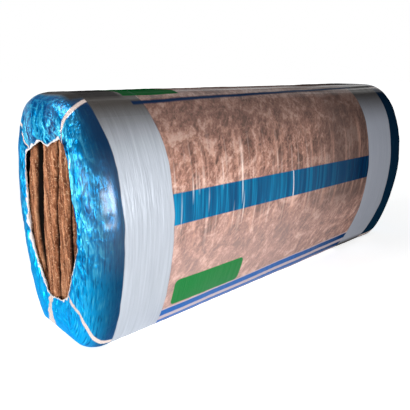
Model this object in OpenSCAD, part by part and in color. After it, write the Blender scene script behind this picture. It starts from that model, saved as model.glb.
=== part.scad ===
// Pack of mineral wool slabs in a printed shrink-film sleeve.
// The slabs stand on edge, side by side, and the film's pull rounds them into a barrel section.
// X runs along the slabs, Y across the stack and Z up. The origin is the middle of the sole.

/* [Slabs] */
// Number of slabs in the pack
slab_count = 5; // [4:1:7]
// Length of a slab
slab_length = 1350; // [900:10:1600]
// Height of the middle slabs as they stand on edge
slab_height = 600; // [500:5:700]
// Thickness of a slab half-way along, squeezed as it is in the pack
slab_thickness = 83.8; // [50:0.2:95]
// Gap between neighbouring slabs
slab_gap = 0.4; // [0.3:0.1:2]
// Width of the parting where two slabs splay apart at the ends
parting_gap = 36; // [4:1:45]
// How far in from each end the parting reaches
parting_depth = 220; // [120:5:400]
// Number of slabs behind the parting
slabs_behind_parting = 2; // [1:1:3]

/* [Barrel section] */
// Height of the pack's widest line above the floor
belly_height = 315; // [250:5:360]
// Width of the flat sole that the pack stands on
sole_width = 210; // [120:5:260]
// Width of the flat crown along the top
crown_width = 90; // [40:2:180]
// Squareness of the shoulders above the belly, 2 for an ellipse
shoulder_squareness = 2.1; // [1.8:0.1:4]
// Squareness of the bilges below the belly, 2 for an ellipse
bilge_squareness = 1.6; // [1.4:0.1:4]
// How far from each end the film's pull begins to draw the pack in
end_reach = 62; // [30:1:90]
// How far the pull draws in each side at the ends
side_draw = 62; // [25:1:75]
// How far the pull draws in the top and the sole at the ends
rim_draw = 35; // [15:1:60]

/* [Film sleeve] */
// Thickness of the film
film_thickness = 0.15; // [0.1:0.05:1]
// Slack between the film and the stack's sides and top
film_slack = 1.5; // [1:0.1:4]
// Seat clearance under the slabs and before their ends
seat_gap = 0.4; // [0.3:0.1:1]
// Width of the eye that is left open in each end
eye_width = 252; // [120:2:260]
// Height of the eye
eye_height = 400; // [200:2:430]
// Height of the eye's middle above the floor
eye_level = 312; // [290:2:330]
// Shift of the eye's middle towards the back
eye_shift = -16; // [-20:1:20]
// Roundness of the eye, 2 for an ellipse and less for a spindle
eye_roundness = 1.8; // [1.5:0.1:2.4]

/* [Hidden] */
// Facets: per quarter of the section, along the sole, per end edge and across an end
quarter_steps = 24;
flat_steps = 8;
edge_steps = 6;
end_steps = 3;
// Facets: across a slab and along its parting
slab_steps = 4;
parting_steps = 4;
// Narrow land that is left upright on the two outermost slabs
side_land = 2;

wool_brown = [0.63, 0.40, 0.26];
film_blue = [0.20, 0.52, 0.76];

// Half width, floor and top of the stack of slabs
stack_half = (slab_count * slab_thickness + (slab_count - 1) * slab_gap) / 2;
stack_floor = film_thickness + seat_gap;
stack_top = stack_floor + slab_height;

// The same for the film's inner face
inner_half = stack_half + film_slack;
inner_top = stack_top + film_slack;
inner_end = slab_length / 2 + seat_gap;

// And for its outer face
outer_half = inner_half + film_thickness;
outer_top = inner_top + film_thickness;
outer_end = inner_end + film_thickness;

slab_names = [for (i = [1:slab_count]) str("wool_slab_", i)];

// Barrel section

// Share of a quarter's height that is left at a share v of its width
function quarter_height(v, squareness) = pow(max(0, 1 - pow(v, squareness)), 1 / squareness);

// Share of the way from the edge of a flat out to the belly, at a distance y from the middle
function past_flat(y, flat, half) = max(0, (abs(y) - flat / 2) / (half - flat / 2));

// Height of the section's lower and upper curve at a distance y from the middle
function bilge_z(y, half, floor_z) =
    let (v = past_flat(y, sole_width, half))
    belly_height + (floor_z - belly_height) * quarter_height(v, bilge_squareness);
function shoulder_z(y, half, top_z) =
    let (v = past_flat(y, crown_width, half))
    belly_height + (top_z - belly_height) * quarter_height(v, shoulder_squareness);

// A point of a quarter at angle a, from 0 at the belly to 90 at the flat
function quarter_point(a, flat, half, limit_z, squareness) = [
    flat / 2 + (half - flat / 2) * pow(cos(a), 2 / squareness),
    belly_height + (limit_z - belly_height) * pow(sin(a), 2 / squareness)
];
function quarter(flat, half, limit_z, squareness) =
    [for (k = [0:quarter_steps]) quarter_point(90 * k / quarter_steps, flat, half, limit_z, squareness)];

// The whole outline: from the back belly under the sole, up the front and over the crown
function reversed(list) = [for (k = [len(list) - 1:-1:0]) list[k]];
function tail(list) = [for (k = [1:len(list) - 1]) list[k]];
function flipped(points) = [for (p = points) [-p.x, p.y]];
function section(half, floor_z, top_z) =
    let (
        bilge = quarter(sole_width, half, floor_z, bilge_squareness),
        shoulder = quarter(crown_width, half, top_z, shoulder_squareness),
        sole = [for (k = [1:flat_steps - 1]) [sole_width * (0.5 - k / flat_steps), floor_z]]
    )
    concat(bilge, sole, reversed(flipped(bilge)), tail(flipped(shoulder)), reversed(tail(shoulder)));

// A point of the section drawn in by a share of the film's full pull
function drawn_in(p, share, half, floor_z, top_z) =
    let (
        room = p.y < belly_height ? belly_height - floor_z : top_z - belly_height,
        across = 1 - side_draw * share / half,
        upright = 1 - rim_draw * share / room
    )
    [p.x * across, belly_height + (p.y - belly_height) * upright];

// Stations round an end edge, as [distance from the end, share of the pull]
edge_stations = [
    for (k = [edge_steps:-1:0])
        let (a = 90 * k / edge_steps)
        [end_reach * (1 - sin(a)), 1 - cos(a)]
];

// Stations on along the side, as far in as the slabs are parted
parting_stations = [
    for (k = [1:parting_steps]) [end_reach + (parting_depth - end_reach) * k / parting_steps, 0]
];

// Rings of points to a closed skin

// Two triangles for each side of each pair of rings. A folded skin comes back along its inner face,
// cut along the same diagonals as the outer one, and closes on its first ring.
function skin(ring_count, n, folded) = [
    for (j = [0:ring_count - (folded ? 1 : 2)], i = [0:n - 1], first = [true, false])
        let (
            a = j * n + i,
            b = j * n + (i + 1) % n,
            c = ((j + 1) % ring_count) * n + (i + 1) % n,
            d = ((j + 1) % ring_count) * n + i,
            inside = folded && j >= ring_count / 2
        )
        inside ? (first ? [a, b, d] : [b, c, d]) : (first ? [a, b, c] : [a, c, d])
];

function joined(lists) = [for (list = lists, entry = list) entry];

// Mineral wool slabs

// Gap at the parting, at a distance from the end: it eases from its full width to the usual gap
function parted(d) = slab_gap + (parting_gap - slab_gap) * (1 + cos(180 * min(1, d / parting_depth))) / 2;

// Edges of the slab with index i, as [back, front], where the parting is this wide
function slab_edges(i, gap) =
    let (
        thickness = (2 * stack_half - (slab_count - 2) * slab_gap - gap) / slab_count,
        behind = i >= slab_count - slabs_behind_parting,
        front = -stack_half + i * (thickness + slab_gap) + (behind ? gap - slab_gap : 0),
        limit = stack_half - side_land
    )
    [min(front + thickness, limit), max(front, -limit)];

// Outline of a slab across the pack, along its bottom to the front and back along its top
function slab_outline(i, gap) =
    let (
        edges = [for (y = slab_edges(i, gap)) asin(y / stack_half)],
        across = [
            for (k = [0:slab_steps]) stack_half * sin(edges[0] + (edges[1] - edges[0]) * k / slab_steps)
        ]
    )
    concat(
        [for (y = across) [y, bilge_z(y, stack_half, stack_floor)]],
        [for (y = reversed(across)) [y, shoulder_z(y, stack_half, stack_top)]]
    );

// Points of one ring of a skin
function ring(x, share, outline, half, floor_z, top_z) =
    [for (p = outline) let (q = drawn_in(p, share, half, floor_z, top_z)) [x, q.x, q.y]];

module wool_slab(i) {
    stations = concat(edge_stations, parting_stations);
    outlines = [for (s = stations) slab_outline(i, parted(s[0]))];
    end_x = slab_length / 2;
    half_rings = [
        for (k = [0:len(stations) - 1])
            ring(stations[k][0] - end_x, stations[k][1], outlines[k], stack_half, stack_floor, stack_top)
    ];
    n = len(outlines[0]);
    rings = concat(half_rings, [for (r = reversed(half_rings)) [for (p = r) [-p.x, p.y, p.z]]]);
    last = (len(rings) - 1) * n;
    near_cap = [for (k = [0:slab_steps - 1]) [k, n - 1 - k, n - 2 - k, k + 1]];
    far_cap = [for (k = [0:slab_steps - 1]) [last + k, last + k + 1, last + n - 2 - k, last + n - 1 - k]];
    color(wool_brown)
        polyhedron(points = joined(rings), faces = concat(skin(len(rings), n, false), near_cap, far_cap));
}

// Film sleeve

// Outline of the eye, with one point for each point of the section it faces
function eye_point(p, floor_z, top_z) =
    let (
        middle_z = (floor_z + top_z) / 2,
        a = atan2((p.y - middle_z) / eye_height, p.x / eye_width),
        spread = pow(abs(cos(a)), eye_roundness) + pow(abs(sin(a)), eye_roundness),
        reach = pow(spread, -1 / eye_roundness)
    )
    [eye_shift + eye_width / 2 * reach * cos(a), eye_level + eye_height / 2 * reach * sin(a)];

// Rings of one face of the film, from the eye of one end along the pack to the eye of the other
function film_rings(half, floor_z, top_z, end_x) =
    let (
        base = section(half, floor_z, top_z),
        rim = [for (p = base) drawn_in(p, 1, half, floor_z, top_z)],
        eye = [for (p = rim) eye_point(p, floor_z, top_z)],
        shares = [for (k = [0:end_steps - 1]) k / end_steps],
        across = [for (s = shares) [for (k = [0:len(base) - 1]) eye[k] + (rim[k] - eye[k]) * s]],
        near_half = concat(
            [for (outline = across) [for (p = outline) [-end_x, p.x, p.y]]],
            [for (s = edge_stations) ring(s[0] - end_x, s[1], base, half, floor_z, top_z)]
        )
    )
    concat(near_half, [for (r = reversed(near_half)) [for (p = r) [-p.x, p.y, p.z]]]);

module film_sleeve() {
    outer = film_rings(outer_half, 0, outer_top, outer_end);
    inner = film_rings(inner_half, film_thickness, inner_top, inner_end);
    rings = concat(outer, reversed(inner));
    color(film_blue)
        polyhedron(points = joined(rings), faces = skin(len(rings), len(rings[0]), true));
}

film_sleeve();
for (i = [0:slab_count - 1])
    wool_slab(i);
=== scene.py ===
import itertools
import math

import bpy
import numpy as np
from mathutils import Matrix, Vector, noise


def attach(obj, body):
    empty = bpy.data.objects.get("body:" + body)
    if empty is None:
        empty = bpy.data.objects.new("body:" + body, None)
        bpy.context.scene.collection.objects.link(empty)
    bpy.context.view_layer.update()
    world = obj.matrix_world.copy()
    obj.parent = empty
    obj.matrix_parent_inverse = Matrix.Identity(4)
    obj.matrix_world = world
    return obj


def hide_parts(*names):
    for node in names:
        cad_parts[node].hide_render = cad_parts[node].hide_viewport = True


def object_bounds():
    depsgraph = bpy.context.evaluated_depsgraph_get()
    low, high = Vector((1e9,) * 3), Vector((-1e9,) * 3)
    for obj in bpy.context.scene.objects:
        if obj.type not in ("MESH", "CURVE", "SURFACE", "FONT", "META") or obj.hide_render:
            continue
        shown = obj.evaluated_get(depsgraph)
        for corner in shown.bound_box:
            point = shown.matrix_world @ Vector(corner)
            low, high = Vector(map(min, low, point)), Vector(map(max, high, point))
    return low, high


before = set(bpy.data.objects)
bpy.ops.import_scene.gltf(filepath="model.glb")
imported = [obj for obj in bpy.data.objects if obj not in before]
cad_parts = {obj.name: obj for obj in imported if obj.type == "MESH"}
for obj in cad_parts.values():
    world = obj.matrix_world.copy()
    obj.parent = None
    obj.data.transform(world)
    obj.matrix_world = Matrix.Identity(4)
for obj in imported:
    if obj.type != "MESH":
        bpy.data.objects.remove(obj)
cad_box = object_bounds()

# A pack of mineral wool slabs in a printed shrink film. Lengths are in metres.
# X runs along the pack with the near end at -X, Y across it with the front at -Y, and Z up, as in the CAD.

# Outer size, from the frame
HALF_L, HALF_W, HEIGHT = cad_box[1]

# Barrel section, and the film's pull that draws it in at the ends, as in the CAD
BELLY = 0.315
SOLE = 0.210
CROWN = 0.090
SHOULDER_POWER = 2.1
BILGE_POWER = 1.6
END_REACH = 0.062
SIDE_DRAW = 0.062
RIM_DRAW = 0.035
BODY_END = HALF_L - END_REACH

# Stack of slabs in the film, as in the CAD
FILM_THICKNESS = 0.00015
FILM_SLACK = 0.0015
SEAT_GAP = 0.0004
STACK_HALF = HALF_W - FILM_THICKNESS - FILM_SLACK
STACK_FLOOR = FILM_THICKNESS + SEAT_GAP
STACK_TOP = HEIGHT - FILM_THICKNESS - FILM_SLACK
SLAB_HALF_L = HALF_L - FILM_THICKNESS - SEAT_GAP
SLABS = 5
SLABS_BEHIND = 2
SLAB_GAP = 0.0004
PARTING = 0.036
PARTING_DEPTH = 0.220
SIDE_LAND = 0.002

# Steps of the drawn curves: a quarter of the section, and a softened path
QUARTER_STEPS = 400
PATH_STEPS = 201
SOFT_STEPS = 15


# Curves

def length_along(points):
    """Distance of each point of a polyline from its first one."""
    return np.concatenate([[0], np.cumsum(np.hypot(*np.diff(points, axis=0).T))])


def at_length(wanted, length, points):
    """Points at the wanted lengths along a polyline."""
    return np.stack([np.interp(wanted, length, points[:, k]) for k in (0, 1)], 1)


def softened(path, shares):
    """Points at the given shares of a polyline's length, with its corners softened."""
    corners = np.array(path)
    length = length_along(corners)
    fine = np.linspace(0, 1, PATH_STEPS)
    line = at_length(fine, length / length[-1], corners)
    kernel = np.hanning(SOFT_STEPS)
    kernel /= kernel.sum()
    reach = SOFT_STEPS // 2
    padded = np.concatenate([np.repeat(line[:1], reach, 0), line, np.repeat(line[-1:], reach, 0)])
    soft = np.stack([np.convolve(padded[:, k], kernel, "valid") for k in (0, 1)], 1)
    return at_length(shares, fine, soft)


def quarter(flat, limit, power):
    """Quarter of the section, from the belly to the edge of a flat, as rows of (y, z)."""
    angle = np.linspace(0, math.pi / 2, QUARTER_STEPS)
    across = np.clip(np.cos(angle), 0, 1) ** (2 / power)
    upright = np.clip(np.sin(angle), 0, 1) ** (2 / power)
    return np.stack([flat / 2 + (HALF_W - flat / 2) * across, BELLY + (limit - BELLY) * upright], 1)


def section(count):
    """Even points from the middle of the sole up the front, over the crown and down the back."""
    bilge = quarter(SOLE, 0.0, BILGE_POWER)
    shoulder = quarter(CROWN, HEIGHT, SHOULDER_POWER)
    back = np.concatenate([[[0, 0]], bilge[::-1], shoulder[1:], [[0, HEIGHT]]])
    whole = np.concatenate([back * [-1, 1], back[::-1][1:]])
    length = length_along(whole)
    around = np.linspace(0, length[-1], count)
    return at_length(around, length, whole), around


def drawn_in(points, share, half, floor, top):
    """Points of the section, drawn in by a share of the film's full pull at the ends."""
    y, z = points.T
    room = np.where(z < BELLY, BELLY - floor, top - BELLY)
    across = y * (1 - SIDE_DRAW * share / half)
    return np.stack([across, BELLY + (z - BELLY) * (1 - RIM_DRAW * share / room)], 1)


def add_piece(name, points, faces, values):
    """Smooth mesh object that carries, for each name in values, one number per point."""
    mesh = bpy.data.meshes.new(name)
    mesh.from_pydata(points, [], faces)
    for key, numbers in values.items():
        layer = mesh.attributes.new(key, "FLOAT", "POINT")
        layer.data.foreach_set("value", np.asarray(numbers, np.float32).ravel())
    mesh.polygons.foreach_set("use_smooth", [True] * len(mesh.polygons))
    mesh.update()
    piece = bpy.data.objects.new(name, mesh)
    bpy.context.scene.collection.objects.link(piece)
    return piece


# Film: a grid of rings from lip to lip, with columns round the section

COLUMNS = 288
BODY_RINGS = 210
EDGE_RINGS = 9
FACE_RINGS = 26
# Rings lie closer towards the lip; the face bulges a little, and the lip sinks in
FACE_CROWDING = 1.15
FACE_BULGE = 0.004
LIP_SINK = 0.003
# Two rings of the lip's hem, as (depth behind the end, distance drawn out under the film)
HEM = ((0.003, 0.0015), (0.006, 0.004))
BODY_TO_LIP = 1.0

# Places on the section that face the eye's four corners, as (y, z), from the bottom front over the top
PANEL_CORNERS = ((-0.145, 0.046), (-0.112, 0.582), (0.125, 0.571), (0.100, 0.004))

# The eye's lip from corner to corner, as (y, z)
LIP_FRONT = (
    (-0.058, 0.132), (-0.075, 0.164), (-0.091, 0.199), (-0.111, 0.235), (-0.129, 0.269), (-0.141, 0.310),
    (-0.142, 0.338), (-0.134, 0.361), (-0.129, 0.387), (-0.120, 0.411), (-0.134, 0.448), (-0.130, 0.469),
    (-0.118, 0.490), (-0.094, 0.508),
)
LIP_TOP = (
    (-0.094, 0.508), (-0.082, 0.508), (-0.046, 0.497), (-0.019, 0.485), (-0.002, 0.489), (0.015, 0.496),
    (0.046, 0.482), (0.097, 0.460),
)
LIP_BACK = (
    (0.097, 0.460), (0.105, 0.452), (0.118, 0.400), (0.118, 0.349), (0.123, 0.295), (0.117, 0.242),
    (0.098, 0.193), (0.077, 0.161), (0.051, 0.114), (0.025, 0.104),
)
LIP_BOTTOM = ((0.025, 0.104), (-0.004, 0.111), (-0.031, 0.114), (-0.058, 0.132))

# Centre lines of the clear strips at the ends: how far round the section, at a few distances along the film
STRIP_ALONG = (0.600, 0.635, 0.656, 0.676, 0.705, 0.750, 0.775)
STRIP_LINES = {
    "strip_bottom_front": (0.135, 0.146, 0.163, 0.190, 0.216, 0.198, 0.186),
    "strip_top_front": (0.762, 0.746, 0.734, 0.724, 0.699, 0.692, 0.690),
    "strip_top_back": (1.030, 1.030, 1.028, 1.024, 1.018, 0.990, 0.972),
    "strip_bottom_back": (1.690, 1.684, 1.680, 1.674, 1.665, 1.642, 1.620),
}

# Relief: heights of the slow swell, the ripples on the body, the pleats at the lip and the folds at the ends
SWELL_HEIGHT = 0.0022
RIPPLE_HEIGHT = 0.0006
PLEAT_HEIGHT = 0.0022
FOLD_HEIGHT = 0.0050
# Folds go down from this level, with finer ones at a share of their height
FOLD_LEVEL = 0.35
FINE_FOLD_SHARE = 0.6
RELIEF_LOWEST = -0.0018
RELIEF_HIGHEST = 0.006
# Where the end relief begins along the film, and over what length
END_RELIEF_FROM = 0.585
END_RELIEF_FADE = 0.05
# How far the lip's slack reaches, for what share of that it is full, and what is left on the taut film
LIP_REACH = 0.10
FULL_SLACK = 0.3
TAUT_SHARE = 0.2
FLOOR_CLEARANCE = 0.0002
PACK_MIDDLE = (0, 0, 0.31)
TINY = 1e-12


def lip_points(outline):
    """The eye's lip, with one point for each point of the section."""
    points = np.zeros((COLUMNS + 1, 2))
    starts = [int(np.argmin(np.hypot(*(outline - place).T))) for place in PANEL_CORNERS]
    stops = starts[1:] + [starts[0] + COLUMNS]
    for path, start, stop in zip((LIP_FRONT, LIP_TOP, LIP_BACK, LIP_BOTTOM), starts, stops):
        columns = np.arange(start, stop + 1) % COLUMNS
        points[columns] = softened(path, np.linspace(0, 1, stop - start + 1))
    points[COLUMNS] = points[0]
    return points


def ring(x, points):
    """Ring of the film at a place along the pack."""
    return np.column_stack([np.full(len(points), x), points])


def end_rings(outline):
    """Rings from the body round the far edge and across the end to the lip, with its hem turned inwards."""
    rings = []
    for k in range(1, EDGE_RINGS + 1):
        angle = math.pi / 2 * k / EDGE_RINGS
        points = drawn_in(outline, 1 - math.cos(angle), HALF_W, 0, HEIGHT)
        rings.append(ring(BODY_END + END_REACH * math.sin(angle), points))
    rim = drawn_in(outline, 1.0, HALF_W, 0, HEIGHT)
    lip = lip_points(outline)
    for k in range(1, FACE_RINGS + 1):
        share = 1 - (1 - k / FACE_RINGS) ** FACE_CROWDING
        bulge = FACE_BULGE * math.sin(math.pi * share) - LIP_SINK * share ** 3
        rings.append(ring(HALF_L + bulge, rim + (lip - rim) * share))
    outward = (rim - lip) / np.hypot(*(rim - lip).T)[:, None]
    for depth, draw in HEM:
        rings.append(ring(HALF_L - depth, lip + outward * draw))
    return np.array(rings)


def film_grid(outline):
    """The film's points, and each one's distance along the film from its middle and from the lip."""
    far = end_rings(outline)
    body = np.array([ring(x, outline) for x in np.linspace(-BODY_END, BODY_END, BODY_RINGS)])
    steps = np.linalg.norm(np.diff(np.concatenate([body[-1:], far]), axis=0), axis=2)
    travel = np.cumsum(steps, 0)
    far_to_lip = np.maximum(0.0, travel[-1 - len(HEM)] - travel)
    grid = np.concatenate([far[::-1] * [-1, 1, 1], body, far])
    along = np.concatenate([-(BODY_END + travel)[::-1], body[..., 0], BODY_END + travel])
    to_lip = np.concatenate([far_to_lip[::-1], np.full(body.shape[:2], BODY_TO_LIP), far_to_lip])
    return grid, along, to_lip


def outward_normals(grid):
    """Unit normals of a grid whose columns close on themselves."""
    lengthwise = np.gradient(grid, axis=0)
    round_about = np.empty_like(grid)
    round_about[:, 1:-1] = grid[:, 2:] - grid[:, :-2]
    round_about[:, [0, -1]] = (grid[:, 1] - grid[:, -2])[:, None]
    normal = np.cross(round_about, lengthwise)
    normal /= np.linalg.norm(normal, axis=2)[..., None] + TINY
    return normal * np.sign((normal * (grid - np.array(PACK_MIDDLE))).sum())


def film_relief(grid, along, around, to_lip):
    """Height of the film above its smooth form; the factors beside the places are waves per metre."""
    at_end = np.clip((np.abs(along) - END_RELIEF_FROM) / END_RELIEF_FADE, 0, 1)
    near_lip = np.clip(1 - to_lip / LIP_REACH, 0, 1)
    slack = TAUT_SHARE + (1 - TAUT_SHARE) * np.clip(1 + FULL_SLACK - to_lip / LIP_REACH, 0, 1)
    relief = np.zeros(along.shape)
    for i, j in np.ndindex(*along.shape):
        x = along[i, j]
        s = around[j]
        y, z = grid[i, j, 1:]
        swell = noise.fractal(Vector((x * 4.0, y * 5.0, z * 4.0)), 1.0, 2.0, 3)
        ripple = noise.noise(Vector((x * 75.0, s * 5.0, 3.0)))
        height = SWELL_HEIGHT * swell + RIPPLE_HEIGHT * ripple * (1 - at_end[i, j])
        if at_end[i, j] > 0:
            pleat = noise.noise(Vector((s * 60.0, x * 10.0, 11.0)))
            fold = abs(noise.noise(Vector((x * 40.0, s * 11.0, 5.0))))
            fold += FINE_FOLD_SHARE * abs(noise.noise(Vector((x * 85.0, s * 26.0, 8.0))))
            loose = PLEAT_HEIGHT * near_lip[i, j] * pleat
            loose += FOLD_HEIGHT * slack[i, j] * (FOLD_LEVEL - fold)
            height += at_end[i, j] * loose
        relief[i, j] = height
    relief[:, -1] = relief[:, 0]
    return np.clip(relief, RELIEF_LOWEST, RELIEF_HIGHEST)


def film_piece(outline, around):
    """The whole film, with the places that its material needs at each point."""
    grid, along, to_lip = film_grid(outline)
    relief = film_relief(grid, along, around, to_lip)
    points = grid + outward_normals(grid) * relief[..., None]
    points[..., 2] = np.maximum(points[..., 2], FLOOR_CLEARANCE)
    index = np.arange(along.size).reshape(along.shape)
    corners = [index[:-1, :-1], index[:-1, 1:], index[1:, 1:], index[1:, :-1]]
    quads = np.stack(corners, -1).reshape(-1, 4)
    values = {"along": along, "around": np.broadcast_to(around, along.shape), "to_lip": to_lip}
    for key, line in STRIP_LINES.items():
        values[key] = around - np.interp(np.abs(along), STRIP_ALONG, line)
    return add_piece("film_wrap", points.reshape(-1, 3).tolist(), quads.tolist(), values)


outline, around = section(COLUMNS + 1)
film = film_piece(outline, around)
PERIMETER = around[-1]


# Wool slabs

# Cells of a slab: across, upright, round an end edge and along one half of the body
CELLS_ACROSS = 26
CELLS_UPRIGHT = 120
EDGE_STATIONS = 10
BODY_STATIONS = 24
# Room that the slabs leave the film
FILM_ROOM = 0.004

# How the slabs lean and crowd at the near end: the joints' places, front to back, at a few heights
LEAN_Z = (0.132, 0.205, 0.266, 0.317, 0.369, 0.428, 0.480)
LEANING_JOINTS = (
    (-0.055, -0.062, -0.070, -0.074, -0.082, -0.090, -0.097),
    (-0.001, -0.006, -0.014, -0.018, -0.027, -0.040, -0.052),
    (0.055, 0.055, 0.051, 0.047, 0.035, 0.023, 0.013),
    (0.064, 0.084, 0.092, 0.089, 0.076, 0.063, 0.053),
    (0.104, 0.122, 0.134, 0.134, 0.126, 0.105, 0.094),
)
# Where the same joints would stand without the lean, between the two outermost faces
EVEN_JOINTS = (-0.1483, -0.0940, -0.0396, 0.0146, 0.0400, 0.0940, 0.1483)
# The lean begins here along the pack and grows by this power towards the end
LEAN_FROM = 0.45
LEAN_POWER = 1.5
WAVE_HEIGHT = 0.0012

# How far each slab's end stands back from the foremost one, and how much of that adds to its painted shade
SET_BACK = (0.014, 0.008, 0.0, 0.004, 0.030)
SET_BACK_SHADE = 0.35
# Frayed ends: the usual depth, and the heights of streaks, clumps and swells
FRAY_DEPTH = 0.006
STREAK_HEIGHT = 0.0016
FINE_STREAK_SHARE = 0.6
CLUMP_HEIGHT = 0.0014
END_SWELL_HEIGHT = 0.0025
LEAST_FRAY = 0.002
# Rounding of an end's upright edges, as (radius, drop): at the parting and elsewhere
OPEN_EDGE = (0.020, 0.022)
CLOSED_EDGE = (0.006, 0.012)
EDGE_POWER = 1.5


def quarter_height(share, power):
    """Share of a quarter's height that is left at a share of its width, or the other way round."""
    return max(0.0, 1 - share ** power) ** (1 / power)


def past_flat(y, flat):
    """Share of the way from the edge of a flat out to the belly."""
    return max(0.0, (abs(y) - flat / 2) / (STACK_HALF - flat / 2))


def bilge_z(y):
    """Height of the stack's underside."""
    return BELLY + (STACK_FLOOR - BELLY) * quarter_height(past_flat(y, SOLE), BILGE_POWER)


def shoulder_z(y):
    """Height of the stack's top."""
    return BELLY + (STACK_TOP - BELLY) * quarter_height(past_flat(y, CROWN), SHOULDER_POWER)


def side_reach(z, share):
    """Half width of the stack at a height, where the film's pull draws it in by a share."""
    if z < BELLY:
        height = (BELLY - z) / (BELLY - STACK_FLOOR - RIM_DRAW * share)
        flat, power = SOLE / 2, BILGE_POWER
    else:
        height = (z - BELLY) / (STACK_TOP - BELLY - RIM_DRAW * share)
        flat, power = CROWN / 2, SHOULDER_POWER
    width = flat + (STACK_HALF - flat) * quarter_height(height, power)
    return width * (1 - SIDE_DRAW * share / STACK_HALF)


def slab_edges(i, depth):
    """Front and back face of a slab at a depth from the end, towards which two of them splay apart."""
    ease = (1 + math.cos(math.pi * min(1.0, depth / PARTING_DEPTH))) / 2
    gap = SLAB_GAP + (PARTING - SLAB_GAP) * ease
    thickness = (2 * STACK_HALF - (SLABS - 2) * SLAB_GAP - gap) / SLABS
    front = -STACK_HALF + i * (thickness + SLAB_GAP)
    if i >= SLABS - SLABS_BEHIND:
        front += gap - SLAB_GAP
    limit = STACK_HALF - SIDE_LAND
    return max(front, -limit), min(front + thickness, limit)


def crowded(y, z):
    """Where a place across the even stack comes to stand in the leaning one."""
    leaning = [np.interp(z, LEAN_Z, joint) for joint in LEANING_JOINTS]
    return float(np.interp(y, EVEN_JOINTS, (EVEN_JOINTS[0], *leaning, EVEN_JOINTS[-1])))


def fray(i, u, y, z, far, width):
    """How far the wool of an end lies back from the slab's end: frayed, and rounded at its upright edges."""
    seed = i * 7.3 + far * 40
    streak = noise.noise(Vector((y * 160, z * 9, seed)))
    streak += FINE_STREAK_SHARE * noise.noise(Vector((y * 420, z * 22, seed + 3.1)))
    clump = noise.fractal(Vector((y * 90, z * 60, seed + 5.7)), 0.8, 2.0, 4)
    swell = noise.noise(Vector((y * 14, z * 6, seed + 2.0)))
    depth = FRAY_DEPTH + STREAK_HEIGHT * streak + CLUMP_HEIGHT * clump + END_SWELL_HEIGHT * swell
    front_edge = OPEN_EDGE if i == SLABS - SLABS_BEHIND else CLOSED_EDGE
    for to_edge, (radius, drop) in ((u * width, front_edge), ((1 - u) * width, CLOSED_EDGE)):
        depth += drop * max(0.0, 1 - to_edge / radius) ** EDGE_POWER
    return max(LEAST_FRAY, depth)


def slab_point(i, u, v, x):
    """Point of a slab at shares u of its thickness and v of its height, and its depth for the shading."""
    depth = SLAB_HALF_L - abs(x)
    fade = max(0.0, 1 - depth / END_REACH)
    share = 1 - math.sqrt(max(0.0, 1 - fade ** 2))
    front, back = slab_edges(i, depth)
    y = front + (back - front) * u
    low = bilge_z(y)
    even = np.array([[y, low + (shoulder_z(y) - low) * v]])
    y, z = drawn_in(even, share, STACK_HALF, STACK_FLOOR, STACK_TOP)[0].tolist()
    z = BELLY + (z - BELLY) * (1 - FILM_ROOM / STACK_HALF)
    lean = max(0.0, (abs(x) - LEAN_FROM) / (SLAB_HALF_L - LEAN_FROM)) ** LEAN_POWER
    if x < 0:
        y += (crowded(y, z) - y) * lean
    y += WAVE_HEIGHT * noise.noise(Vector((x * 60, z * 20, i * 9.0 + u * 3))) * lean
    reach = side_reach(z, share) - FILM_ROOM
    y = max(-reach, min(reach, y))
    loose = fray(i, u, y, z, x > 0, back - front) * fade if fade else 0.0
    point = (x - math.copysign(loose + SET_BACK[i] * fade, x), y, z)
    return point, depth + loose + SET_BACK[i] * SET_BACK_SHADE


def slab_stations():
    """Places along a slab, closest together round its end edges."""
    turn = np.linspace(math.pi / 2, 0, EDGE_STATIONS)
    body = np.linspace(END_REACH, SLAB_HALF_L, BODY_STATIONS)[1:]
    from_end = np.concatenate([END_REACH * (1 - np.sin(turn)), body])
    return np.concatenate([-SLAB_HALF_L + from_end, (SLAB_HALF_L - from_end)[::-1][1:]])


def slab_piece(i):
    """Slab as a closed box of quads."""
    stations = slab_stations()
    last = len(stations) - 1
    index = {}
    points = []
    depths = []
    faces = []

    def corner(a, b, c):
        if (a, b, c) not in index:
            point, depth = slab_point(i, a / CELLS_ACROSS, b / CELLS_UPRIGHT, stations[c])
            index[a, b, c] = len(points)
            points.append(point)
            depths.append(depth)
        return index[a, b, c]

    def add_quad(corners, turned):
        quad = [corner(*place) for place in corners]
        faces.append(quad[::-1] if turned else quad)

    for c, a, b in itertools.product((0, last), range(CELLS_ACROSS), range(CELLS_UPRIGHT)):
        add_quad([(a, b, c), (a, b + 1, c), (a + 1, b + 1, c), (a + 1, b, c)], c == 0)
    for a, b, c in itertools.product((0, CELLS_ACROSS), range(CELLS_UPRIGHT), range(last)):
        add_quad([(a, b, c), (a, b, c + 1), (a, b + 1, c + 1), (a, b + 1, c)], a > 0)
    for b, a, c in itertools.product((0, CELLS_UPRIGHT), range(CELLS_ACROSS), range(last)):
        add_quad([(a, b, c), (a + 1, b, c), (a + 1, b, c + 1), (a, b, c + 1)], b > 0)
    return add_piece("wool_%d" % (i + 1), points, faces, {"shade_depth": depths})


slabs = [slab_piece(i) for i in range(SLABS)]


# Node helpers

# Half width of the soft edge that printed shapes have
PRINT_SOFT = 0.0012


def srgb(r, g, b):
    """Linear colour of a screen colour from 0 to 255."""
    return tuple((c / 255 / 12.92) if c <= 10 else ((c / 255 + 0.055) / 1.055) ** 2.4 for c in (r, g, b))


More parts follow.
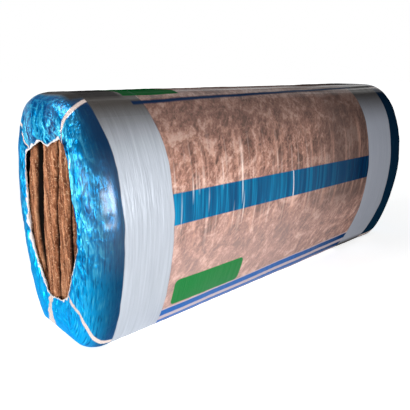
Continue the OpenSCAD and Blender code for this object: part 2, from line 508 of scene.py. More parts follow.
class Nodes:
    """Short forms for the nodes of one tree. A value is a number or another node's socket."""

    def __init__(self, tree):
        self.tree = tree

    def put(self, socket, value):
        if isinstance(value, bpy.types.NodeSocket):
            self.tree.links.new(value, socket)
        else:
            socket.default_value = value

    def node(self, kind, **settings):
        node = self.tree.nodes.new(kind)
        for key, value in settings.items():
            setattr(node, key, value)
        return node

    def math(self, operation, *values):
        node = self.node("ShaderNodeMath", operation=operation)
        for socket, value in zip(node.inputs, values):
            self.put(socket, value)
        return node.outputs[0]

    def chain(self, operation, first, *others):
        """One operation over any number of values."""
        for other in others:
            first = self.math(operation, first, other)
        return first

    def add(self, *values):
        return self.chain("ADD", *values)

    def mul(self, *values):
        return self.chain("MULTIPLY", *values)

    def most(self, *values):
        return self.chain("MAXIMUM", *values)

    def sub(self, a, b):
        return self.math("SUBTRACT", a, b)

    def inv(self, a):
        return self.math("SUBTRACT", 1.0, a)

    def size(self, a):
        return self.math("ABSOLUTE", a)

    def ramp(self, value, start, stop, low=0.0, high=1.0, smooth=False):
        """From low to high while the value goes from start to stop."""
        node = self.node("ShaderNodeMapRange", interpolation_type="SMOOTHSTEP" if smooth else "LINEAR")
        self.put(node.inputs["Value"], value)
        node.inputs["From Min"].default_value = start
        node.inputs["From Max"].default_value = stop
        node.inputs["To Min"].default_value = low
        node.inputs["To Max"].default_value = high
        return node.outputs["Result"]

    def level(self, mask, off, on):
        """One level where a mask is 0 and another where it is 1."""
        return self.ramp(mask, 0.0, 1.0, off, on)

    def past(self, value, edge, soft=PRINT_SOFT):
        """0 below an edge and 1 above it."""
        return self.ramp(value, edge - soft, edge + soft)

    def before(self, value, edge, soft=PRINT_SOFT):
        """1 below an edge and 0 above it."""
        return self.inv(self.past(value, edge, soft))

    def within(self, value, low, high, soft=PRINT_SOFT):
        """1 between two edges and 0 outside."""
        return self.mul(self.past(value, low, soft), self.before(value, high, soft))

    def attribute(self, name):
        return self.node("ShaderNodeAttribute", attribute_name=name).outputs["Fac"]

    def position(self):
        return self.node("ShaderNodeNewGeometry").outputs["Position"]

    def split(self, vector):
        node = self.node("ShaderNodeSeparateXYZ")
        self.put(node.inputs[0], vector)
        return node.outputs

    def vector(self, *values):
        node = self.node("ShaderNodeCombineXYZ")
        for socket, value in zip(node.inputs, values):
            self.put(socket, value)
        return node.outputs[0]

    def scaled(self, values, factors):
        """Place for a noise that has so many waves per metre in each direction."""
        return self.vector(*(self.mul(value, factor) for value, factor in zip(values, factors)))

    def noise(self, vector, scale=1.0, detail=4.0, rough=0.5, distort=0.0):
        node = self.node("ShaderNodeTexNoise")
        self.put(node.inputs["Vector"], vector)
        node.inputs["Scale"].default_value = scale
        node.inputs["Detail"].default_value = detail
        node.inputs["Roughness"].default_value = rough
        node.inputs["Distortion"].default_value = distort
        return node.outputs["Fac"]

    def crease(self, vector, detail):
        """Noise folded at its middle, so that it has sharp valleys."""
        return self.size(self.sub(self.noise(vector, detail=detail), 0.5))

    def mix(self, share, a, b):
        """Colour a where the share is 0, and b where it is 1."""
        node = self.node("ShaderNodeMix", data_type="RGBA")
        self.put(node.inputs["Factor"], share)
        for key, colour in (("A", a), ("B", b)):
            socket = [s for s in node.inputs if s.name == key and s.type == "RGBA"][0]
            self.put(socket, colour if isinstance(colour, bpy.types.NodeSocket) else (*colour, 1.0))
        return [s for s in node.outputs if s.type == "RGBA"][0]

    def bump(self, height, strength, distance, below=None):
        node = self.node("ShaderNodeBump")
        node.inputs["Strength"].default_value = strength
        node.inputs["Distance"].default_value = distance
        self.put(node.inputs["Height"], height)
        if below is not None:
            self.put(node.inputs["Normal"], below)
        return node.outputs[0]

    def shown_rays(self):
        """1 for the rays that show the white studio as it is, 0 for those that only light the pack."""
        path = self.node("ShaderNodeLightPath").outputs
        return self.most(path["Is Camera Ray"], path["Is Glossy Ray"], path["Is Transmission Ray"])


class MaterialNodes(Nodes):
    """Nodes of a new material with one shader."""

    def __init__(self, name):
        self.material = bpy.data.materials.new(name)
        self.material.use_nodes = True
        super().__init__(self.material.node_tree)
        self.shader = self.tree.nodes["Principled BSDF"]

    def set_input(self, socket, value):
        self.put(self.shader.inputs[socket], value)


# Film colours

WHITE = (1.0, 1.0, 1.0)
AZURE = srgb(2, 132, 188)
# Painted highlight on the foil
AZURE_HIGHLIGHT = srgb(96, 208, 240)
# Painted light low on the foil
AZURE_FLOOR_LIT = srgb(16, 166, 224)
AZURE_GRAZING = srgb(96, 192, 236)
# Painted shade on the foil
AZURE_SHADE = srgb(0, 58, 106)
# Painted shade at the edges of the ends
EDGE_SHADE_BLUE = srgb(0, 42, 74)
NAVY = srgb(14, 36, 66)
# Painted shade on the far edge
FAR_SHADE_NAVY = srgb(12, 26, 46)
PALE = srgb(180, 186, 195)
PALE_DARK = srgb(162, 168, 177)
# Painted shade on the bands towards the far end
PALE_FAR_SHADE = srgb(140, 143, 155)
# Dark wool, and also painted shade on the ripples
WOOL_DARK_AND_SHADE = srgb(94, 68, 60)
WOOL_MID = srgb(164, 118, 102)
WOOL_LIGHT = srgb(216, 180, 164)
# Painted highlight over the covered wool
WOOL_HIGHLIGHT = srgb(224, 172, 150)
# Painted light over the covered wool
WOOL_PAINTED_LIGHT = srgb(198, 170, 164)
WOOL_SHADE = srgb(92, 76, 72)
GLINT = srgb(250, 228, 216)
STRIPE = srgb(0, 84, 126)
# Painted shade and highlight in the stripe's streaks
STRIPE_SHADE = srgb(0, 58, 98)
STRIPE_HIGHLIGHT = srgb(8, 130, 172)
STRIPE_GLINT = srgb(204, 228, 238)
DIVIDER = srgb(225, 230, 235)
GREEN = srgb(8, 112, 48)
TOP_GREEN = srgb(8, 78, 34)
LINE_BLUE = srgb(22, 88, 158)
CLEAR_EDGE = srgb(208, 190, 182)
CLEAR_LOW = srgb(184, 170, 176)
LIP_WHITE = srgb(222, 216, 214)
TOP_DARK = srgb(48, 46, 45)
# Clear film at the crown, darkened by painted shade
TOP_CLEAR_AND_SHADE = srgb(70, 66, 63)

# Places of the print

# Edges of the pale bands along the pack, and how far the film's pull shifts them at the crown and the sole
NEAR_BAND = (-0.603, -0.467)
FAR_BAND = (0.406, 0.563)
CROWN_SHIFT = 0.012
SOLE_SHIFT = 0.030
EDGE_WAVE = 0.010
# The stripe along the side: its foot and head at its near end, what it falls per metre, and its divider
STRIPE_Z = (0.301, 0.377)
STRIPE_NEAR_END = -0.466
STRIPE_FALL = 0.0115
DIVIDER_X = (-0.0215, -0.0185)
# The green panel low on the side: middle, half size less the corners, and corner radius
PANEL_X = -0.3225
PANEL_Z = 0.108
PANEL_HALF_X = 0.1085
PANEL_HALF_Z = 0.025
PANEL_CORNER = 0.014
# The two blue lines above the sole, what they rise per metre, and the clear edge below them
LOW_LINES = ((0.039, 0.060), (0.004, 0.025))
LOW_LINES_NEAR_END = -0.46
LOW_LINES_RISE = 0.018
LOW_CLEAR_TOP = 0.064
# The crown's line, panel and dark patch: along the pack, and away from the ridge
TOP_LINE_X = (-0.506, 0.446)
TOP_LINE_OFF = (0.098, 0.111)
TOP_LINE_SLANT = 0.03
TOP_PANEL_X = (-0.513, -0.348)
TOP_PANEL_OFF = 0.090
TOP_PATCH_X = (-0.648, -0.518)
TOP_PATCH_OFF = 0.096
# Upright wrinkles that catch the light: (place along, foot, head, half width, strength), and how they lean
WRINKLES = (
    (-0.440, 0.27, 0.385, 0.0030, 0.5),
    (-0.405, 0.34, 0.420, 0.0040, 0.7),
    (-0.385, 0.36, 0.420, 0.0045, 0.6),
    (-0.369, 0.37, 0.440, 0.0040, 0.5),
    (-0.352, 0.31, 0.385, 0.0030, 0.45),
    (-0.303, 0.36, 0.450, 0.0040, 0.5),
    (-0.262, 0.24, 0.330, 0.0030, 0.4),
    (-0.232, 0.31, 0.455, 0.0036, 1.0),
    (-0.232, 0.37, 0.490, 0.0080, 0.45),
    (-0.225, 0.25, 0.350, 0.0030, 0.8),
    (-0.138, 0.25, 0.310, 0.0030, 0.4),
    (-0.090, 0.37, 0.450, 0.0040, 0.5),
)
WRINKLE_END = 0.04
WRINKLE_LEAN = 0.085
WRINKLE_MIDDLE = 0.38
# Half width of a clear strip at the lip and at the reach of its slack, and each strip's share of it
STRIP_HALF = (0.0035, 0.0065)
STRIP_SHARES = (1.2, 0.85, 0.9, 4.2)
LIP_EDGE = 0.0032
LIP_RAGGED = 0.008
# Shift of the two heights compared to see which way the crumpled foil faces, for its painted light and shade
EMBOSS = 0.004
# Gloss: how metallic the foil and the bands are, and how much rougher than the clear film
FOIL_METAL = 0.88
BAND_METAL = 0.35
CLEAR_ROUGHNESS = 0.24
FOIL_ROUGHER = 0.07
BAND_ROUGHER = 0.16
COAT_ROUGHNESS = 0.2

# Where the film's zones and shades fade, as (start, stop): X along the film, Y across the pack, Z up,
# LIP away from the lip, and the others away from the ridge

# Bands: where the film's pull shifts their edges, and their ends at the crown and far sole, partly painted
# shade
CROWN_SHIFT_Z = (0.45, 0.60)
SOLE_SHIFT_Z = (0.17, 0.02)
BAND_OFF_RIDGE = (0.110, 0.270)
FAR_BAND_FOOT_Z = (0.040, 0.018)
BAND_FAR_X = (0.0, 0.45)
# Foil: the cap above the eye, the calm parts, the loose film at the lip, and the painted light and shade
CAP_Z = (0.44, 0.50)
CAP_TOP_Z = (0.53, 0.59)
CAP_MIDDLE_Y = (-0.12, -0.06)
BACK_FACE_Y = (0.06, 0.11)
LOW_FACE_Y = (-0.09, -0.05)
LOW_FACE_Z = (0.17, 0.11)
LOW_END_Z = (0.30, 0.10)
LOOSE_LIP = (0.030, 0.100)
CREASED_LIP = (0.035, 0.125)
NEAR_EDGE_X = (-0.682, -0.612)
NEAR_TOP_X = (-0.682, -0.630)
NEAR_TOP_Z = (0.38, 0.52)
FRONT_EDGE_X = (-0.725, -0.640)
FRONT_EDGE_Y = (-0.10, -0.165)
FAR_EDGE_X = (0.665, 0.720)
# Window: painted light low down, painted shade at the top and far end, and the belly that catches the light
LOW_LIGHT_X = (0.32, -0.05)
LOW_LIGHT_Z = (0.46, 0.16)
TOP_SHADE_Z = (0.40, 0.55)
FAR_SHADE_X = (-0.02, 0.22)
FAR_SHADE_Z = (0.17, 0.26)
BELLY_FOOT_Z = (0.20, 0.30)
BELLY_HEAD_Z = (0.52, 0.42)
SHINE_X = (0.22, -0.10)
SIDE_Y = (0.12, 0.14)
STRIPE_FAR_X = (0.0, 0.36)
STRIPE_LIT_X = (0.20, -0.30)
LINE_FAR_X = (0.05, 0.40)
# Gloss: the near edge, the streaks along the shoulders, and the sides
TAUT_FOOT_Z = (0.20, 0.32)
TAUT_HEAD_Z = (0.50, 0.42)
EDGE_GLOSS_X = (-0.705, -0.645)
EDGE_GLOSS_END_X = (-0.2, 0.5)
STREAK_X = (-0.5, -0.25)
STREAK_OFF_RIDGE = (0.055, 0.120)
SIDE_GLOSS_TOP = (0.12, 0.26)
SIDE_GLOSS_FOOT = (0.60, 0.70)
SIDE_GLOSS_X = (-0.30, 0.35)

# Waves per metre of the foil's creases along, across and up, and the shares of the smaller ones
BROAD_CREASES = (34.0, 30.0, 15.0)
CAP_CREASES = (27.0, 30.0, 16.0)
NARROW_CREASES = (85.0, 62.0, 30.0)
FINE_CREASES = (210.0, 140.0, 60.0)
NARROW_SHARE = 0.4
NARROW_CAP_SHARE = 0.22
FINE_SHARE = 0.08


class FilmNodes(MaterialNodes):
    """Nodes of the film, with the places and zones that its colours and its gloss share.

    x is the distance along the film, s round the section, lip from the eye and ridge from the crown's middle.
    """

    def __init__(self):
        super().__init__("film")
        self.x = self.attribute("along")
        self.s = self.attribute("around")
        self.lip = self.attribute("to_lip")
        self.place = self.position()
        self.px, self.py, self.pz = self.split(self.place)
        self.ridge = self.size(self.sub(self.s, PERIMETER / 2))
        self.near_half = self.before(self.x, 0.0)
        self.set_zones()
        self.set_foil()
        self.set_wrinkles()
        self.set_crown_print()

    def on_film(self, x_waves, s_waves, seed):
        """Place on the film for a noise with so many waves per metre along it and round it."""
        return self.vector(self.mul(self.x, x_waves), self.mul(self.s, s_waves), seed)

    def set_zones(self):
        """Masks of the pale bands, of the clear window between them and of the two blue ends."""
        wave = self.noise(self.vector(0.0, self.s, 0.0), 9.0, 2.0)
        wave = self.mul(self.sub(wave, 0.5), EDGE_WAVE)
        crown_shift = self.ramp(self.pz, *CROWN_SHIFT_Z, 0.0, CROWN_SHIFT)
        sole_shift = self.ramp(self.pz, *SOLE_SHIFT_Z, 0.0, SOLE_SHIFT)
        near_x = self.add(self.x, wave, crown_shift)
        far_x = self.add(self.sub(self.x, crown_shift), sole_shift, wave)
        near_band = self.within(near_x, *NEAR_BAND)
        far_band = self.within(far_x, *FAR_BAND)
        self.window = self.mul(self.past(near_x, NEAR_BAND[1]), self.before(far_x, FAR_BAND[0]))
        self.both_bands = self.most(near_band, far_band)
        self.ends = self.inv(self.most(self.window, self.both_bands))
        # The bands fade into darker film towards the crown and the far sole: partly the print's own fade,
        # partly painted shade
        off_crown = self.ramp(self.ridge, *BAND_OFF_RIDGE, smooth=True)
        off_sole = self.inv(self.mul(far_band, self.ramp(self.pz, *FAR_BAND_FOOT_Z)))
        self.bands = self.mul(self.both_bands, off_crown, off_sole)

    def set_foil(self):
        """The blue ends' crumpled foil: its cap above the eye, its calm parts, its height and the painted
        shade on its far edge.
        """
        self.cap = self.ramp(self.pz, *CAP_Z)
        back_face = self.mul(self.ramp(self.py, *BACK_FACE_Y), self.inv(self.cap))
        low_face = self.mul(self.ramp(self.pz, *LOW_FACE_Z), self.ramp(self.py, *LOW_FACE_Y))
        self.calm = self.most(back_face, low_face)
        self.crinkle = self.crumple(0.0)
        # Painted shade on the far rounding
        far_fade = self.ramp(self.x, *FAR_EDGE_X, 1.0, 0.0, smooth=True)
        self.far_edge_shade = self.mul(self.past(self.x, 0.0), far_fade)

    def crumple(self, shift):
        """Height of the crumpled foil, a little further along and up."""
        place = (self.add(self.px, shift), self.py, self.add(self.pz, shift))
        broad_face = self.crease(self.scaled(place, BROAD_CREASES), 1.0)
        broad_cap = self.crease(self.scaled(place, CAP_CREASES), 4.0)
        broad = self.add(self.mul(broad_face, self.inv(self.cap)), self.mul(broad_cap, self.cap))
        narrow = self.crease(self.scaled(place, NARROW_CREASES), 1.0)
        fine = self.crease(self.scaled(place, FINE_CREASES), 1.0)
        narrow = self.mul(narrow, self.level(self.cap, NARROW_SHARE, NARROW_CAP_SHARE))
        return self.add(broad, narrow, self.mul(fine, FINE_SHARE))

    def set_wrinkles(self):
        """Upright streaks of light on the taut film: many faint ones and the single wrinkles."""
        self.upright_x = self.sub(self.x, self.mul(self.sub(self.pz, WRINKLE_MIDDLE), WRINKLE_LEAN))
        streaks = self.vector(self.mul(self.upright_x, 95.0), self.mul(self.s, 3.5), 9.0)
        self.glints = self.noise(streaks, 1.0, 3.0, 0.55)
        lines = []
        for place, foot, head, half, strength in WRINKLES:
            across = self.ramp(self.size(self.sub(self.upright_x, place)), half, 0.0)
            rise = self.ramp(self.pz, foot, foot + WRINKLE_END)
            fall = self.ramp(self.pz, head, head - WRINKLE_END)
            lines.append(self.mul(across, rise, fall, strength))
        self.wrinkles = self.most(*lines)

    def set_crown_print(self):
        """Masks of the line, the panel and the dark patch on the crown."""
        slanted = self.add(self.ridge, self.mul(self.x, TOP_LINE_SLANT))
        self.top_line = self.within(slanted, *TOP_LINE_OFF, 0.003)
        self.top_panel = self.mul(self.within(self.x, *TOP_PANEL_X), self.before(self.ridge, TOP_PANEL_OFF))
        patch_along = self.within(self.x, *TOP_PATCH_X, 0.008)
        self.top_patch = self.mul(patch_along, self.before(self.ridge, TOP_PATCH_OFF, 0.010))


def foil_colour(g):
    """Azure foil with painted light and shade on its creases and fine wrinkle lines, and at its edges."""
    # Painted light and shade: crease facets facing one way are lightened, the others darkened, and crease
    # lines lightened
    facet_shading = g.mul(g.sub(g.crumple(EMBOSS), g.crinkle), g.level(g.cap, 1.0, 1.7))
    cap_middle = g.mul(g.cap, g.ramp(g.py, *CAP_MIDDLE_Y), 0.75)
    loose = g.most(g.ramp(g.lip, *LOOSE_LIP, 1.0, 0.10), cap_middle)
    loose = g.mul(loose, g.level(g.calm, 1.0, 0.35))
    colour = g.mix(g.mul(g.ramp(facet_shading, 0.005, 0.075), loose), AZURE, AZURE_HIGHLIGHT)
    colour = g.mix(g.mul(g.ramp(facet_shading, -0.005, -0.075), loose), colour, AZURE_SHADE)
    colour = g.mix(g.mul(g.ramp(g.crinkle, 0.05, 0.0, 0.0, 0.6), loose), colour, AZURE_HIGHLIGHT)
    # Painted shade: the cap darker towards its top
    colour = g.mix(g.mul(g.cap, g.ramp(g.pz, *CAP_TOP_Z, 0.12, 0.6)), colour, AZURE_SHADE)
    # Painted light: the ends lighter low down, where the floor lights them
    colour = g.mix(g.ramp(g.pz, *LOW_END_Z, 0.0, 0.75), colour, AZURE_FLOOR_LIT)
    # Fine wrinkle lines painted as shade and highlight
    wrinkle_lines = g.noise(g.on_film(240.0, 20.0, 1.0), 1.0, 2.0, 0.5)
    wrinkle_line_share = g.mul(g.level(g.calm, 1.0, 0.4), g.level(g.cap, 1.0, 0.6))
    colour = g.mix(g.mul(g.ramp(wrinkle_lines, 0.45, 0.34, 0.0, 0.7), wrinkle_line_share), colour, AZURE_SHADE)
    colour = g.mix(g.mul(g.ramp(wrinkle_lines, 0.57, 0.70, 0.0, 0.6), wrinkle_line_share), colour, AZURE_HIGHLIGHT)
    return foil_edges(g, colour)


def foil_edges(g, colour):
    """The foil's colour, with painted shade towards the edges of both ends."""
    # Painted shade on the near edge, its front and its top, and on the far edge
    near_edge_shade = g.mul(g.ramp(g.x, *NEAR_EDGE_X, smooth=True), g.near_half)
    colour = g.mix(g.mul(near_edge_shade, 0.85), colour, EDGE_SHADE_BLUE)
    front = g.ramp(g.py, *FRONT_EDGE_Y, 0.0, 0.45)
    front_edge = g.mul(g.ramp(g.x, *FRONT_EDGE_X, smooth=True), g.near_half, front)
    colour = g.mix(front_edge, colour, EDGE_SHADE_BLUE)
    near_top_shade = g.mul(g.ramp(g.pz, *NEAR_TOP_Z), g.ramp(g.x, *NEAR_TOP_X), g.near_half)
    colour = g.mix(g.mul(near_top_shade, 0.75), colour, NAVY)
    return g.mix(g.mul(g.far_edge_shade, 0.95), colour, FAR_SHADE_NAVY)


def band_colour(g):
    """Pale bands with fine streaks, and painted shade towards the far end."""
    streaks = g.noise(g.on_film(160.0, 5.0, 0.0), 1.0, 4.0, 0.6)
    colour = g.mix(g.ramp(streaks, 0.3, 0.7), PALE_DARK, PALE)
    return g.mix(g.ramp(g.x, *BAND_FAR_X, 0.0, 0.7), colour, PALE_FAR_SHADE)


def covered_wool_colour(g):
    """Wool seen through the clear film, fibres aslant, with painted glints, highlights and shade over it."""
    aslant = (g.sub(g.x, g.pz), g.add(g.x, g.pz), g.py)
    strands = g.noise(g.scaled(aslant, (52.0, 20.0, 30.0)), 1.0, 8.0, 0.62, 0.6)
    blotch = g.noise(g.place, 13.0, 8.0, 0.66, 0.9)
    grain = g.noise(g.place, 150.0, 3.0, 0.6)
    mottle = g.add(g.mul(blotch, 0.48), g.mul(strands, 0.34), g.mul(grain, 0.18))
    colour = g.mix(g.ramp(mottle, 0.425, 0.53), WOOL_DARK_AND_SHADE, WOOL_MID)
    colour = g.mix(g.ramp(mottle, 0.51, 0.60, 0.0, 0.9), colour, WOOL_LIGHT)
    # Painted highlights along the film's folds
    folds = g.crease(g.scaled(aslant, (30.0, 9.0, 12.0)), 3.0)
    colour = g.mix(g.ramp(folds, 0.024, 0.0, 0.0, 0.35), colour, WOOL_HIGHLIGHT)
    # Painted light: paler low down and towards the near end
    low_light = g.mul(g.ramp(g.pz, *LOW_LIGHT_Z, 0.0, 0.42, smooth=True), g.ramp(g.x, *LOW_LIGHT_X, 0.6, 1.0))
    colour = g.mix(low_light, colour, WOOL_PAINTED_LIGHT)
    far_shade = g.mul(g.ramp(g.x, *FAR_SHADE_X, 0.0, 0.75), g.ramp(g.pz, *FAR_SHADE_Z))
    colour = g.mix(g.most(g.ramp(g.pz, *TOP_SHADE_Z, 0.0, 0.62), far_shade), colour, WOOL_SHADE)
    belly = g.mul(g.ramp(g.pz, *BELLY_FOOT_Z), g.ramp(g.pz, *BELLY_HEAD_Z))
    # Painted highlights and shade of upright ripples on the belly
    ripple = g.noise(g.vector(g.mul(g.upright_x, 60.0), g.mul(g.s, 4.0), 5.0), 1.0, 3.0, 0.55)
    colour = g.mix(g.mul(g.ramp(ripple, 0.52, 0.68, 0.0, 0.4), belly), colour, WOOL_HIGHLIGHT)
    colour = g.mix(g.mul(g.ramp(ripple, 0.48, 0.34, 0.0, 0.4), belly), colour, WOOL_DARK_AND_SHADE)
    shine = g.mul(g.ramp(g.glints, 0.54, 0.76, 0.0, 0.5), belly, g.ramp(g.x, *SHINE_X, 0.15, 1.0))
    return g.mix(g.most(shine, g.wrinkles), colour, GLINT)


def stripe_colour(g):
    """The stripe's blue, darker towards the far end, with painted upright streaks of light and shade."""
    colour = g.mix(g.ramp(g.x, *STRIPE_FAR_X), STRIPE, NAVY)
    # Painted shade and light in upright streaks
    colour = g.mix(g.ramp(g.glints, 0.48, 0.36, 0.0, 0.7), colour, STRIPE_SHADE)
    lit = g.mul(g.ramp(g.glints, 0.50, 0.64, 0.0, 0.85), g.ramp(g.x, *STRIPE_LIT_X, 0.2, 1.0))
    colour = g.mix(lit, colour, STRIPE_HIGHLIGHT)
    return g.mix(g.mul(g.wrinkles, 0.85), colour, STRIPE_GLINT)


def panel_mask(g):
    """The green panel with its round corners."""
    beyond_x = g.most(g.sub(g.size(g.sub(g.x, PANEL_X)), PANEL_HALF_X), 0.0)
    beyond_z = g.most(g.sub(g.size(g.sub(g.pz, PANEL_Z)), PANEL_HALF_Z), 0.0)
    beyond = g.math("SQRT", g.add(g.mul(beyond_x, beyond_x), g.mul(beyond_z, beyond_z)))
    return g.before(beyond, PANEL_CORNER)


def window_colour(g):
    """The clear window: covered wool under the stripe, the green panel and the low lines."""
    on_side = g.ramp(g.size(g.py), *SIDE_Y)
    stripe_z = g.add(g.pz, g.mul(g.sub(g.x, STRIPE_NEAR_END), STRIPE_FALL))
    stripe = g.mul(g.within(stripe_z, *STRIPE_Z), on_side)
    colour = g.mix(stripe, covered_wool_colour(g), stripe_colour(g))
    colour = g.mix(g.mul(stripe, g.within(g.x, *DIVIDER_X)), colour, DIVIDER)
    colour = g.mix(g.mul(panel_mask(g), on_side), colour, GREEN)
    low_z = g.sub(g.pz, g.mul(g.sub(g.x, LOW_LINES_NEAR_END), LOW_LINES_RISE))
    colour = g.mix(g.before(low_z, LOW_CLEAR_TOP), colour, CLEAR_LOW)
    lines = g.most(*(g.within(low_z, *line) for line in LOW_LINES))
    return g.mix(lines, colour, g.mix(g.ramp(g.x, *LINE_FAR_X, 0.0, 0.8), LINE_BLUE, NAVY))


def clear_masks(g):
    """The clear strips between the film's panels together with the lip, and the lip alone."""
    half = g.ramp(g.lip, 0.0, LIP_REACH, *STRIP_HALF)
    inside = []
    for key, share in zip(STRIP_LINES, STRIP_SHARES):
        inside.append(g.sub(g.mul(half, share), g.size(g.attribute(key))))
    ragged = g.noise(g.vector(g.mul(g.s, 22.0), g.x, 4.0), 1.0, 2.0)
    ragged = g.ramp(ragged, 0.48, 0.68, 0.0, LIP_RAGGED)
    lip_edge = g.before(g.sub(g.lip, ragged), LIP_EDGE)
    return g.most(g.past(g.most(*inside), 0.0, 0.0015), lip_edge), lip_edge


def film_colour(g, clear, lip_edge):
    """All of the film's print, zone over zone, with the painted light and shade over it."""
    # Under the bands, darker clear film that is partly painted shade
    colour = g.mix(g.both_bands, foil_colour(g), TOP_CLEAR_AND_SHADE)
    colour = g.mix(g.bands, colour, band_colour(g))
    colour = g.mix(g.window, colour, window_colour(g))
    colour = g.mix(g.mul(g.top_line, g.within(g.x, *TOP_LINE_X)), colour, NAVY)
    colour = g.mix(g.top_panel, colour, TOP_GREEN)
    colour = g.mix(g.top_patch, colour, TOP_DARK)
    return g.mix(g.mul(clear, g.ends), colour, g.mix(lip_edge, CLEAR_EDGE, LIP_WHITE))


def film_coat(g):
    """Weight of the clear gloss: on the near edge, and in streaks along the shoulders."""
    taut = g.mul(g.ramp(g.pz, *TAUT_FOOT_Z), g.ramp(g.pz, *TAUT_HEAD_Z))
    edge = g.mul(g.ends, g.ramp(g.x, *EDGE_GLOSS_END_X, 1.0, 0.0), g.ramp(g.x, *EDGE_GLOSS_X, 0.05, 1.0))
    edge = g.mul(edge, g.level(taut, 0.1, 1.0))
    streaks = g.noise(g.on_film(3.0, 110.0, 6.0), 1.0, 3.0, 0.5)
    streaks = g.mul(g.ramp(streaks, 0.38, 0.62, 0.25, 0.9), g.ramp(g.x, *STREAK_X, 0.6, 1.0))
    printed = g.most(g.mul(g.top_line, 0.8), g.mul(g.top_panel, 0.9), g.mul(g.top_patch, 0.8))
    return g.most(edge, g.mul(streaks, g.within(g.ridge, *STREAK_OFF_RIDGE, 0.015), g.inv(printed)))


def film_normal(g):
    """Fine ripples everywhere, and the foil's creases at the ends."""
    ripples = g.noise(g.on_film(120.0, 9.0, 2.0), 1.0, 5.0, 0.6)
    rippled = g.bump(g.mul(ripples, g.level(g.ends, 1.0, 0.7)), 0.35, 0.004)
    slack = g.mul(g.ends, g.ramp(g.lip, *CREASED_LIP, 1.0, 0.12), g.level(g.calm, 1.0, 0.4))
    return g.bump(g.mul(g.crinkle, g.add(slack, 0.03)), 1.0, 0.020, rippled)


def film_material():
    g = FilmNodes()
    clear, lip_edge = clear_masks(g)
    foil = g.mul(g.ends, g.inv(clear), g.inv(g.far_edge_shade), g.inv(g.top_patch))
    gloss_foot = g.ramp(g.ridge, *SIDE_GLOSS_FOOT, 1.0, 0.4)
    side_gloss = g.mul(g.ramp(g.ridge, *SIDE_GLOSS_TOP, 0.0, 0.12), gloss_foot)
    g.set_input("Base Color", film_colour(g, clear, lip_edge))
    g.set_input("Metallic", g.add(g.mul(foil, FOIL_METAL), g.mul(g.bands, BAND_METAL)))
    rougher = g.add(g.mul(g.bands, BAND_ROUGHER), g.mul(foil, FOIL_ROUGHER))
    g.set_input("Roughness", g.add(rougher, CLEAR_ROUGHNESS))
    g.set_input("Specular IOR Level", g.mul(side_gloss, g.ramp(g.x, *SIDE_GLOSS_X, 1.0, 0.0)))
    g.set_input("Specular Tint", g.mix(foil, WHITE, AZURE_GRAZING))
    g.set_input("Coat Weight", film_coat(g))
    g.set_input("Coat Roughness", COAT_ROUGHNESS)
    g.set_input("Normal", film_normal(g))
    return g.material


# Wool material

FIBRE_DARK = srgb(104, 58, 34)
FIBRE_LIGHT = srgb(196, 130, 92)
STRAND_DARK = srgb(80, 40, 22)
STRAND_LIGHT = srgb(228, 170, 130)
SPECK_LIGHT = srgb(240, 198, 158)
SPECK_DARK = srgb(52, 24, 12)
WOOL_DEEP_SHADE = srgb(14, 8, 5)
# Depth behind the slab's end over which painted shade darkens the wool
PAINTED_SHADE_DEPTH = (0.0080, 0.0165)


def wool_material():
    """Brown wool with upright fibres, and painted shade that darkens it quickly behind the slabs' ends."""
    g = MaterialNodes("wool")
    place = g.position()
    xyz = g.split(place)
    fibre = g.noise(g.scaled(xyz, (60.0, 230.0, 30.0)), 1.0, 6.0, 0.7)
    strand = g.noise(g.scaled(xyz, (40.0, 95.0, 11.0)), 1.0, 3.0, 0.55, 0.4)
    speck = g.noise(place, 190.0, 4.0, 0.7)
    colour = g.mix(g.ramp(fibre, 0.38, 0.60), FIBRE_DARK, FIBRE_LIGHT)
    colour = g.mix(g.ramp(strand, 0.54, 0.38, 0.0, 0.7), colour, STRAND_DARK)
    colour = g.mix(g.ramp(strand, 0.52, 0.68, 0.0, 0.5), colour, STRAND_LIGHT)
    colour = g.mix(g.ramp(speck, 0.56, 0.70), colour, SPECK_LIGHT)
    colour = g.mix(g.ramp(speck, 0.42, 0.32, 0.0, 0.8), colour, SPECK_DARK)
    # Painted shade in the gaps and behind the slabs' ends
    colour = g.mix(g.ramp(g.attribute("shade_depth"), *PAINTED_SHADE_DEPTH, smooth=True), colour, WOOL_DEEP_SHADE)
    height = g.add(g.mul(fibre, 0.6), g.mul(speck, 0.4), g.mul(strand, 0.9))
    g.set_input("Base Color", colour)
    g.set_input("Roughness", 0.95)
    g.set_input("Specular IOR Level", 0.15)
    g.set_input("Normal", g.bump(height, 0.9, 0.006))
    return g.material


film.data.materials.append(film_material())
wool = wool_material()
for slab in slabs:
    slab.data.materials.append(wool)


# Studio: a white floor and a white world, which light the pack less than they show

FLOOR_SIZE = 60
FLOOR_DROP = 0.0005
FLOOR_NEAR = 0.8
FLOOR_FAR = 3.5
# The floor gives more light near the near end, and most before it, as (start, stop) along X
FLOOR_FADE_X = (-0.6, 0.7)
FORECOURT_X = (-1.1, -0.75)
WORLD_LIGHT = (0.95, 0.98, 1, 1)
WORLD_STRENGTH = 0.16

# Lamps, as (name, place, target, size, power, spread in degrees)
LAMPS = (
    ("key", (-3.2, 0.1, 0.36), (-0.6, 0, 0.3), (2.2, 0.7), 29, 180),
    ("front", (-0.35, -2.5, 0.36), (-0.45, 0, 0.24), (0.7, 0.9), 3.6, 55),
    ("glow", (-1.25, -2.2, 0.36), (-0.64, -0.15, 0.33), (1.2, 0.6), 1.5, 40),
    ("edge", (-1.7, 0.4, 1.9), (-0.66, 0, 0.5), (0.8, 0.8), 3, 60),
)


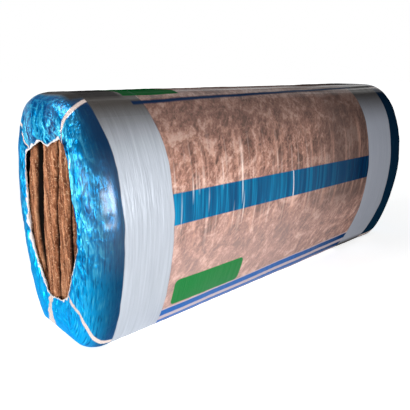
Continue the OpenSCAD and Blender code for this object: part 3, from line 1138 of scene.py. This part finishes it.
def floor_material():
    """White floor that keeps the pack's shadow; its own light is stronger before the near end."""
    g = MaterialNodes("floor")
    place = g.position()
    away = g.node("ShaderNodeVectorMath", operation="LENGTH")
    g.put(away.inputs[0], place)
    distance = away.outputs["Value"]
    x = g.split(place)[0]
    seen = g.ramp(distance, FLOOR_NEAR, FLOOR_FAR, 0.8, 1.0)
    given = g.mul(g.ramp(x, *FLOOR_FADE_X, 0.60, 0.34), g.ramp(distance, FLOOR_NEAR, FLOOR_FAR, 1.0, 1.2))
    given = g.add(given, g.ramp(x, *FORECOURT_X, 0.35, 0.0))
    shown = g.shown_rays()
    g.set_input("Base Color", (0.86, 0.86, 0.86, 1))
    g.set_input("Roughness", 0.9)
    g.set_input("Specular IOR Level", 0.0)
    g.set_input("Emission Color", (*WHITE, 1))
    g.set_input("Emission Strength", g.add(g.mul(shown, seen), g.mul(g.inv(shown), given)))
    return g.material


def add_floor():
    bpy.ops.mesh.primitive_plane_add(size=FLOOR_SIZE, location=(0, 0, -FLOOR_DROP))
    floor = bpy.context.object
    floor.name = "floor"
    floor.data.materials.append(floor_material())
    return floor


def add_world():
    """Soft light for the pack, and plain white wherever the world itself is seen."""
    world = bpy.data.worlds.new("studio")
    bpy.context.scene.world = world
    world.use_nodes = True
    g = Nodes(world.node_tree)
    soft = g.tree.nodes["Background"]
    soft.inputs["Color"].default_value = WORLD_LIGHT
    soft.inputs["Strength"].default_value = WORLD_STRENGTH
    white = g.node("ShaderNodeBackground")
    white.inputs["Color"].default_value = (*WHITE, 1)
    white.inputs["Strength"].default_value = 1.0
    pick = g.node("ShaderNodeMixShader")
    for socket, value in zip(pick.inputs, (g.shown_rays(), soft.outputs[0], white.outputs[0])):
        g.put(socket, value)
    g.put(g.tree.nodes["World Output"].inputs[0], pick.outputs[0])


def add_lamp(name, place, target, size, power, spread):
    data = bpy.data.lights.new(name, "AREA")
    data.shape = "RECTANGLE"
    data.size, data.size_y = size
    data.energy = power
    data.spread = math.radians(spread)
    lamp = bpy.data.objects.new(name, data)
    bpy.context.scene.collection.objects.link(lamp)
    lamp.location = place
    lamp.rotation_euler = (Vector(target) - Vector(place)).to_track_quat("-Z", "Y").to_euler()


floor = add_floor()
add_world()
for lamp in LAMPS:
    add_lamp(*lamp)


# Camera, fitted to the photo

CAMERA_PLACE = (-1.12305, -1.03509, 0.6452)
CAMERA_YAW = math.radians(-42.42)
CAMERA_PITCH = math.radians(15.60)
FOCAL_PIXELS = 474.38
IMAGE_PIXELS = 410
SENSOR_WIDTH = 36


def add_camera():
    data = bpy.data.cameras.new("camera")
    data.sensor_width = SENSOR_WIDTH
    data.lens = FOCAL_PIXELS / IMAGE_PIXELS * SENSOR_WIDTH
    data.clip_start = 0.01
    data.clip_end = 100
    camera = bpy.data.objects.new("camera", data)
    bpy.context.scene.collection.objects.link(camera)
    level = math.cos(CAMERA_PITCH)
    back = Vector((math.sin(CAMERA_YAW) * level, -math.cos(CAMERA_YAW) * level, math.sin(CAMERA_PITCH)))
    camera.location = CAMERA_PLACE
    camera.rotation_euler = (-back).to_track_quat("-Z", "Y").to_euler()
    bpy.context.scene.camera = camera


add_camera()
bpy.context.scene.view_settings.view_transform = "Standard"

# Bodies of the frame, and the CAD nodes that the pieces stand for
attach(film, "root")
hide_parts("film_sleeve")
for i, obj in enumerate(slabs):
    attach(obj, "root")
    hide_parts("wool_slab_%d" % (i + 1))

bpy.context.view_layer.update()
